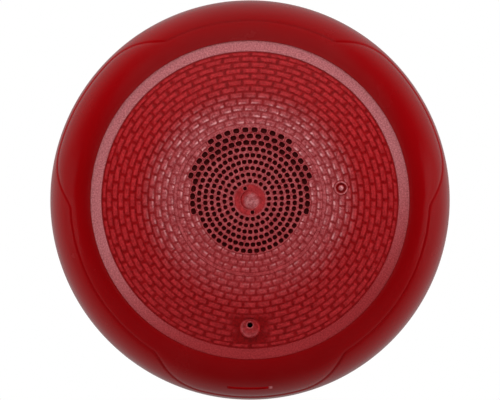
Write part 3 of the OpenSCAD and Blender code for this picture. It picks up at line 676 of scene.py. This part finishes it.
def make_bezel():
    """A quarter ellipse turned around the axis, with a crease, a slot and the hollow inside."""
    b = Builder()
    count = 720
    angles = 360 * np.arange(count) / count
    a = np.radians(angles)
    spread = HEAD_R - RING_OUT
    shoulder = 16.0
    tall = LIP_Z - shoulder

    def level(r):
        """The ellipse's parameter, in degrees, at a radius."""
        return math.degrees(math.asin((r - RING_OUT) / spread))

    # the wavy crease: close to the ring over three sectors, near the silhouette between them
    away = np.abs((angles + 60) % 120 - 60)
    swing = smoothstep(np.clip((away - 27.5) / 18, 0, 1) ** 0.75)
    c = level(CREASE_NEAR) + (level(CREASE_FAR) - level(CREASE_NEAR)) * swing
    slope = (np.roll(c, -1) - np.roll(c, 1)) / (720 / count)
    squeeze = 0.42 / np.sqrt(1 + (slope * 0.3) ** 2)

    # shares of the way from the lip to the crease, with the slot's edges among them, and on to the side
    inner = [0.0, 0.04, 0.1, 0.18, 0.26, 0.34, 0.42, 0.5, 0.56, 0.6, 0.626, 0.632, 0.66, 0.69, 0.696,
             0.74, 0.8, 0.85, 0.89, 0.92, 0.945, 0.965, 0.98, 0.99, 1.0]
    outer = [0.01, 0.02, 0.035, 0.055, 0.08, 0.12, 0.18, 0.26, 0.36, 0.48, 0.6, 0.74, 0.88, 1.0]
    loops = [b.loop(*polar(RING_OUT, angles), z) for z in (RING_Z - WALL, LIP_Z - 0.25)]
    for t, inside in [(t, True) for t in inner] + [(t, False) for t in outer]:
        phi = np.radians(c * t if inside else c + (90 - c) * t)
        r, z = RING_OUT + spread * np.sin(phi), shoulder + tall * np.cos(phi)
        # the outward normal, along which the crease and the slot are sunk
        n = np.stack([np.sin(phi) * tall, np.cos(phi) * spread])
        n /= np.hypot(*n)
        s = (np.degrees(phi) - c) * squeeze
        dip = 0.4 * (np.exp(s / 1.8) if inside else 1 - smoothstep(s / 1.2))
        slot_floor = tab = np.zeros(count, bool)
        if inside and SLOT_FROM < t < SLOT_TO:
            x = r * np.sin(a)
            slot = (np.abs(x) < SLOT_HALF) & (np.abs(angles - 180) < 20)
            tab = slot & (x > TAB_FROM) & (x < TAB_TO)
            slot_floor = slot & ~tab
            dip = dip + np.where(slot_floor, 0.75, 0.0)
        r, z = np.maximum(r - dip * n[0], RING_OUT + 0.03), z - dip * n[1]
        # the slot's floor is marked for painted light, the tab for a paler colour
        paint = np.where(slot_floor, 1.0, 0.0), np.where(tab, 1.0, 0.0)
        loops.append(b.loop(r * np.sin(a), r * np.cos(a), z, 1.0, *paint))
    inside_r, ledge_z = HEAD_R - WALL, RING_Z - WALL - 2.3
    profile = [(HEAD_R, 12.0), (HEAD_R, FOOT_Z + 0.4), (HEAD_R - 0.3, FOOT_Z), (inside_r + 0.3, FOOT_Z),
               (inside_r, FOOT_Z + 0.3), (inside_r, shoulder)]
    wide, high = spread - WALL, tall - WALL
    for phi in np.radians((72, 54, 36, 22, 10)):
        profile.append((RING_OUT + wide * math.sin(phi), shoulder + high * math.cos(phi)))
    profile += [(RING_OUT + WALL, ledge_z), (SEAT_R, ledge_z), (SEAT_R, RING_Z - WALL)]
    loops += [b.loop(*polar(r, angles), z) for r, z in profile]
    for p, q in zip(loops, loops[1:] + loops[:1]):
        b.strip(p, q)
    return b


bezel = make_bezel().build("bezel_shell", [gloss_red()], 40)
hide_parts("bezel")
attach(bezel, "head")


# ---------------------------------------------------------------- the loudspeaker's flexible rings

SECTORS = 8
SECTOR = 360 / SECTORS
DRIVER = (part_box("surround")[0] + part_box("surround")[1]) / 2 / MM
FLANGE_Z = -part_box("surround")[1].y / MM
SPIDER_Z = -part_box("spider")[1].y / MM


def arc(centre, r, start, end, steps):
    """Points on an arc, at clockwise angles from the top."""
    return [polar(r, a) + np.array(centre) for a in np.linspace(start, end, steps + 1)]


def flexing(name, look, outline, r_in, r_out):
    """A ring cut into sectors, each built as a piece of its own; the points worked out from r_in and r_out
    are not used.
    """
    outline = np.array(outline)
    for k in range(SECTORS):
        b = Builder()
        loops = []
        for a in np.linspace(-SECTOR / 2, SECTOR / 2, 13) + SECTOR * k:
            x, y = polar(outline[:, 0], a)
            loops.append(b.loop(x + DRIVER.x, y + DRIVER.z, outline[:, 1]))
        for p, q in zip(loops, loops[1:]):
            b.strip(p, q)
        b.face(loops[0])
        b.face(loops[-1][::-1])
        piece = b.build(f"{name}_sector_{k + 1}", [look])
        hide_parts(name)
        # a sector's corners lie nearer along its middle line than its middle does
        x, y = polar(np.array([r_in, r_out * math.cos(math.radians(SECTOR / 2))]), SECTOR * k)
        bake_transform(piece)


def make_spider():
    """A disc of cloth with round ripples."""
    inner_r, width, cloth_t, ripple_t, steps = 9.9, 10.8, 0.35, 0.3, 21
    ripple = ripple_t * (1 - np.cos(np.arange(steps) * math.pi / 2)) / 2
    under = np.stack([inner_r + np.linspace(0, width, steps), SPIDER_Z + ripple], 1)
    over = under + (0, cloth_t)
    flexing("spider", spider_cloth, [*over, *under[::-1]], 10.3, 19.4)


def make_surround():
    """A half roll of rubber with a flat edge on the frame."""
    rubber_t, roll_r, edge_in, edge_out = 0.4, 1.7, 28.1, 31
    middle = (26.75, FLANGE_Z + rubber_t)
    outline = [(edge_out, FLANGE_Z), (edge_out, FLANGE_Z + rubber_t), *arc(middle, roll_r, 90, -90, 8),
               *arc(middle, roll_r - rubber_t, -90, 90, 8), (edge_in, FLANGE_Z)]
    flexing("surround", rubber, outline, 25.2, 28.4)


# ---------------------------------------------------------------- the other nodes


def laminated():
    s = Shader("core_laminations")
    sheets = s.waves(900, "Z")
    s.set(Base_Color=s.ramp(sheets, rgb(70, 70, 73), rgb(120, 120, 122), 0.2, 0.8), Metallic=0.7,
          Roughness=s.between(s.noise(200), 0.35, 0.55))
    s.bump(sheets, 0.5, 0.00008)
    return s.material


def circuit():
    s = Shader("solder_mask")
    tracks = s.math("GREATER_THAN", s.cells(220, (1, 0.2, 2.4)), 0.42)
    s.set(Base_Color=s.mix(tracks, rgb(8, 92, 44), rgb(24, 126, 66)),
          Roughness=s.between(s.noise(80), 0.22, 0.35), Coat_Weight=0.5, Coat_Roughness=0.12)
    s.bump(tracks, 0.3, 0.00005)
    return s.material


def ferrite():
    s = Shader("ferrite_ground")
    s.set(Base_Color=s.ramp(s.noise(500, 5, 0.7), rgb(42, 42, 45), rgb(68, 68, 71)),
          Roughness=s.between(s.noise(300), 0.45, 0.65), Metallic=0.15)
    s.bump(s.noise(1500, 4), 0.5, 0.00006)
    return s.material


def foam():
    s = Shader("closed_cell_foam")
    pores = s.cells(1300)
    s.set(Base_Color=s.ramp(pores, rgb(30, 30, 32), rgb(52, 52, 55), 0.1, 0.6), Roughness=0.9)
    s.bump(pores, 0.6, 0.0001)
    return s.material


def fibre(name, low, high):
    s = Shader(name)
    pulp = s.noise(900, 6, 0.75, (1, 3, 1))
    s.set(Base_Color=s.ramp(pulp, low, high), Roughness=0.9)
    s.bump(pulp, 0.5, 0.0001)
    return s.material


zinc = metal("zinc_plate", rgb(190, 188, 176), rgb(214, 213, 206))
bright_steel = metal("drawn_steel", rgb(184, 184, 182), rgb(208, 208, 206), (0.18, 0.32), (1, 8, 1))
turned_steel = metal("turned_steel", rgb(182, 181, 174), rgb(206, 205, 198), (0.25, 0.42), (1, 12, 1))
brass = metal("terminal_brass", rgb(206, 170, 92), rgb(226, 194, 124), (0.2, 0.38))
bronze = metal("spring_bronze", rgb(196, 148, 90), rgb(216, 172, 112), (0.2, 0.34), (8, 1, 1))
black_zinc = metal("black_zinc", rgb(48, 48, 52), rgb(74, 74, 78), (0.35, 0.55))
ivory = moulded("plate_ivory", rgb(222, 216, 200), rgb(234, 229, 215))
shell_white = moulded("shell_white", rgb(214, 212, 205), rgb(228, 226, 220))
black = moulded("moulded_black", rgb(26, 26, 27), rgb(40, 40, 42), (0.35, 0.5))
nylon = moulded("bobbin_nylon", rgb(226, 220, 200), rgb(238, 233, 216), (0.3, 0.45), Subsurface_Weight=0.1,
                Subsurface_Radius=(0.001, 0.001, 0.0008))
green_housing = moulded("terminal_green", rgb(20, 84, 52), rgb(30, 104, 66), (0.35, 0.48))
rotor_white = moulded("rotor_white", rgb(228, 228, 224), rgb(240, 240, 237), (0.3, 0.42))
sleeve = moulded("capacitor_sleeve", rgb(22, 40, 96), rgb(34, 56, 122), (0.15, 0.28), 600, Coat_Weight=0.4)
resistor = moulded("resistor_lacquer", rgb(188, 158, 122), rgb(206, 178, 142), (0.3, 0.4), 500)
lead = moulded("lead_insulation", rgb(176, 22, 24), rgb(198, 32, 32), (0.3, 0.42), 700)
phenolic = fibre("phenolic_board", rgb(120, 78, 48), rgb(150, 102, 66))
rubber = moulded("surround_rubber", rgb(24, 24, 25), rgb(36, 36, 38), (0.55, 0.7), 900)
paper = fibre("cone_paper", rgb(30, 30, 32), rgb(58, 58, 60))
cloth = woven("acoustic_cloth", rgb(58, 7, 8), rgb(92, 12, 13), 1500, 0.9, 0.1)
spider_cloth = woven("spider_cloth", rgb(178, 132, 60), rgb(214, 172, 98), 1100, 0.8)
tape = wound("winding_tape", rgb(188, 138, 44), rgb(216, 170, 72), 160, "Z")
copper = wound("coil_copper", rgb(150, 72, 40), rgb(214, 126, 82), 900, "Y")

LOOKS = {
    ivory: ["mounting_plate"],
    bright_steel: ["hinge_pins", "captive_screw"],
    brass: ["threaded_insert", "terminal_contacts"],
    green_housing: ["terminal_block"],
    zinc: ["terminal_clamps", "terminal_screws", "baffle_screws", "shell_screws", "board_screws",
           "speaker_screws", "screw_washer"],
    cloth: ["dust_screen"],
    black: ["baffle", "tap_switch", "voltage_switch"],
    shell_white: ["rear_shell"],
    circuit(): ["circuit_board"],
    laminated(): ["transformer_core"],
    nylon: ["transformer_bobbin"],
    tape: ["transformer_winding"],
    sleeve: ["line_capacitor"],
    resistor: ["board_resistors"],
    bronze: ["contact_blades"],
    foam(): ["speaker_gasket"],
    black_zinc: ["speaker_frame"],
    turned_steel: ["yoke", "top_plate"],
    ferrite(): ["magnet"],
    phenolic: ["tag_strip"],
    lead: ["speaker_leads"],
    paper: ["cone", "dust_cap"],
    copper: ["voice_coil"],
    rotor_white: ["tap_rotor", "voltage_rotor"],
}
for look, dressed in LOOKS.items():
    for node in dressed:
        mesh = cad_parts[node].data
        mesh.materials.clear()
        mesh.materials.append(look)
make_spider()
make_surround()


# ---------------------------------------------------------------- studio


def soft_light(name, size, power, at):
    """An area light that shines at the object and is hidden from the camera and from gloss."""
    data = bpy.data.lights.new(name, "AREA")
    data.shape, data.size, data.size_y, data.energy = "RECTANGLE", size[0], size[1], power
    light = bpy.data.objects.new(name, data)
    light.location = at
    light.rotation_euler = (-Vector(at)).to_track_quat("-Z", "Y").to_euler()
    light.visible_glossy = light.visible_camera = False
    bpy.context.scene.collection.objects.link(light)


def surroundings():
    """White to the camera; for light and gloss, bright behind the object and dim before it."""
    world = bpy.data.worlds.new("studio")
    world.use_nodes = True
    tree = world.node_tree
    direction = tree.nodes.new("ShaderNodeTexCoord").outputs["Generated"]
    split = tree.nodes.new("ShaderNodeSeparateXYZ")
    depth = tree.nodes.new("ShaderNodeMapRange")
    depth.inputs["From Min"].default_value = -1.0
    brightness = tree.nodes.new("ShaderNodeValToRGB")
    stops = [(0.0, 0.01), (0.4, 0.02), (0.5, 0.08), (0.65, 0.3), (0.75, 0.4), (1.0, 0.45)]
    elements = brightness.color_ramp.elements
    for position, _ in stops[1:-1]:
        elements.new(position)
    for element, (position, level) in zip(elements, stops):
        element.position, element.color = position, (level, level, level, 1)
    seen = tree.nodes.new("ShaderNodeLightPath").outputs["Is Camera Ray"]
    mix = tree.nodes.new("ShaderNodeMix")
    mix.data_type = "RGBA"
    unseen_color, seen_color = [s for s in mix.inputs if s.type == "RGBA"]
    seen_color.default_value = (1, 1, 1, 1)
    mixed = [s for s in mix.outputs if s.type == "RGBA"][0]
    for source, target in ((direction, split.inputs[0]),
                           (split.outputs["Y"], depth.inputs["Value"]),
                           (depth.outputs["Result"], brightness.inputs["Fac"]),
                           (brightness.outputs["Color"], unseen_color),
                           (seen, mix.inputs[0]),
                           (mixed, tree.nodes["Background"].inputs["Color"])):
        tree.links.new(source, target)
    bpy.context.scene.world = world


def lights():
    soft_light("high_light", (0.7, 0.7), 2.2, (0, -0.22, 0.42))
    soft_light("key_light", (0.7, 0.7), 0.7, (0, -0.36, 0.36))
    soft_light("front_light", (0.4, 0.4), 1.3, (0, -0.7, 0.12))
    soft_light("left_light", (0.5, 0.5), 7.5, (-0.9, -0.05, -0.02))
    soft_light("right_light", (0.5, 0.5), 7.5, (0.9, -0.05, -0.02))
    soft_light("low_light", (0.8, 0.3), 0.4, (0, -0.03, -0.125))
    soft_light("back_light", (0.8, 0.5), 1.25, (0, 0.5, 0.9))


def paper_floor():
    """A round of pale paper under the object, with a slight glow that keeps it pale."""
    count, radius, level = 96, 1.1, -0.13
    mesh = bpy.data.meshes.new("floor")
    turn = [2 * math.pi * i / count for i in range(count)]
    corners = [(radius * math.cos(a), radius * math.sin(a), level) for a in turn]
    mesh.from_pydata(corners, [], [tuple(range(count))])
    s = Shader("pale_paper")
    s.set(Base_Color=s.ramp(s.noise(6), (0.86, 0.86, 0.86, 1), (0.9, 0.9, 0.9, 1)), Roughness=0.75,
          Emission_Color=(1, 1, 1, 1), Emission_Strength=0.45)
    mesh.materials.append(s.material)
    piece = bpy.data.objects.new("floor", mesh)
    bpy.context.scene.collection.objects.link(piece)
    piece.visible_glossy = piece.visible_diffuse = False


def camera():
    """Straight in front, from far away."""
    distance, frame_width, sensor = 7.5, 0.2166, 36
    data = bpy.data.cameras.new("camera")
    data.sensor_width = sensor
    data.lens = sensor * distance / frame_width
    cam = bpy.data.objects.new("camera", data)
    cam.location = (0, -distance, 0)
    cam.rotation_euler = (math.radians(90), 0, 0)
    bpy.context.scene.collection.objects.link(cam)
    bpy.context.scene.camera = cam


surroundings()
lights()
paper_floor()
camera()
bpy.context.scene.view_settings.view_transform = "Standard"
